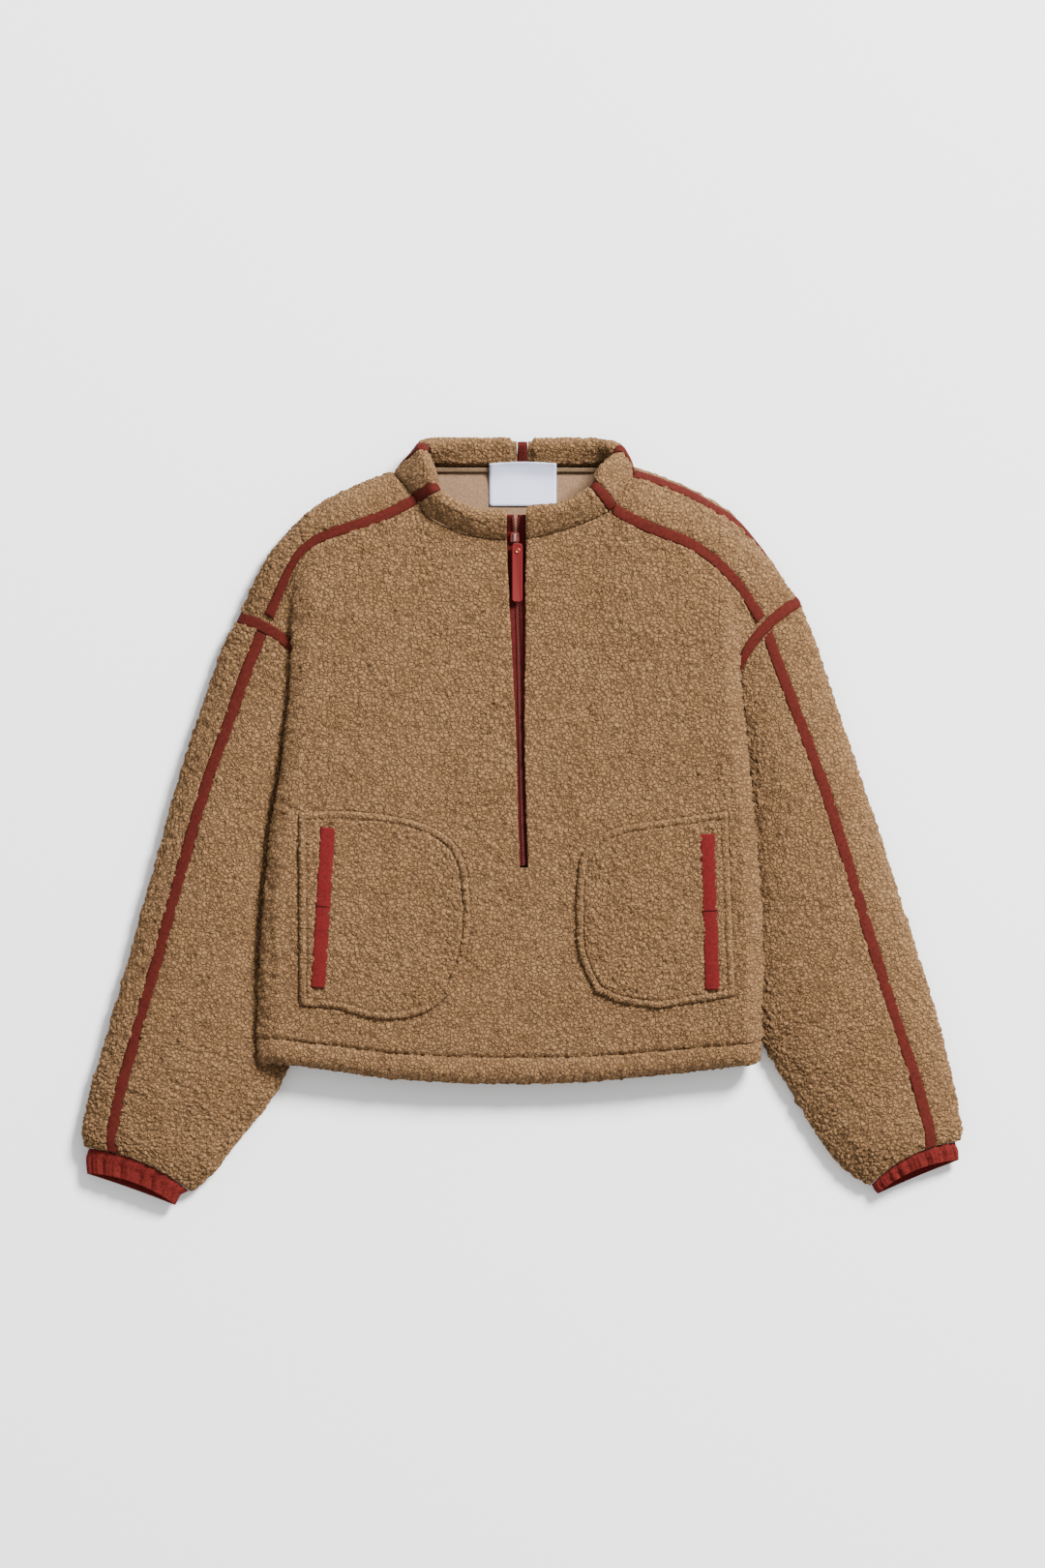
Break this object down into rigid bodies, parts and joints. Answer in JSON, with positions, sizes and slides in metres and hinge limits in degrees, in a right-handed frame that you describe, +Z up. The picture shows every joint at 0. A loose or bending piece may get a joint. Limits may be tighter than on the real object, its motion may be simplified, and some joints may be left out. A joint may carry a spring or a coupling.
{
  "type": "fleece jacket",
  "caption": "Cropped deep-pile fleece pullover with a half zip, stand collar, taped seams, patch pockets and gathered cuffs, laid flat.",
  "frame": {"origin": "on the floor under the middle of the garment's outline box", "axes": "+X to the wearer's left sleeve's side of the picture, its right; +Y from the hem to the collar; +Z up, out of the front"},
  "size_m": [0.8342, 0.7271, 0.0573],
  "materials": {
    "deep_pile_fleece": "tan fleece with a deep, knotty pile",
    "woven_tape": "dark red woven tape, matte",
    "cuff_cloth": "dark red gathered elastic cloth",
    "pull_rubber": "red, smooth, slightly shiny",
    "rivet_brass": "pale, polished",
    "slider_metal": "red paint, satin",
    "label_satin": "pale woven satin, blank",
    "binding_knit": "tan knitted binding"
  },
  "bodies": {
    "garment": {"armhole_tape_left": "woven_tape", "armhole_tape_right": "woven_tape", "back_panel": "deep_pile_fleece", "collar_back_left": "deep_pile_fleece", "collar_back_right": "deep_pile_fleece", "collar_front_left": "deep_pile_fleece", "collar_front_right": "deep_pile_fleece", "collar_side_left": "deep_pile_fleece", "collar_side_right": "deep_pile_fleece", "collar_tape_back_left": "woven_tape", "collar_tape_back_right": "woven_tape", "collar_tape_centre": "woven_tape", "collar_tape_front_left": "woven_tape", "collar_tape_front_right": "woven_tape", "cuff_left": "cuff_cloth", "cuff_right": "cuff_cloth", "front_panel": "deep_pile_fleece", "neck_binding": "binding_knit", "neck_label": "label_satin", "pocket_left": "deep_pile_fleece", "pocket_right": "deep_pile_fleece", "pocket_welt_left": "woven_tape", "pocket_welt_right": "woven_tape", "shoulder_left": "deep_pile_fleece", "shoulder_right": "deep_pile_fleece", "shoulder_tape_back_left": "woven_tape", "shoulder_tape_back_right": "woven_tape", "shoulder_tape_front_left": "woven_tape", "shoulder_tape_front_right": "woven_tape", "sleeve_back_left": "deep_pile_fleece", "sleeve_back_right": "deep_pile_fleece", "sleeve_front_left": "deep_pile_fleece", "sleeve_front_right": "deep_pile_fleece", "sleeve_tape_back_left": "woven_tape", "sleeve_tape_back_right": "woven_tape", "sleeve_tape_front_left": "woven_tape", "sleeve_tape_front_right": "woven_tape", "sleeve_top_left": "deep_pile_fleece", "sleeve_top_right": "deep_pile_fleece", "zip_chain": "woven_tape", "zip_slider": "slider_metal", "zip_tape_left": "woven_tape", "zip_tape_right": "woven_tape"},
    "zip_pull": {"zip_pull": "pull_rubber", "zip_rivet": "rivet_brass"}
  },
  "joints": [
    {"name": "pull_hinge", "type": "hinge", "parent": "garment", "child": "zip_pull", "pos_m": [-0.0083, 0.2682, 0.0428], "axis": [-1, 0, 0], "range_deg": [0, 120]}
  ]
}
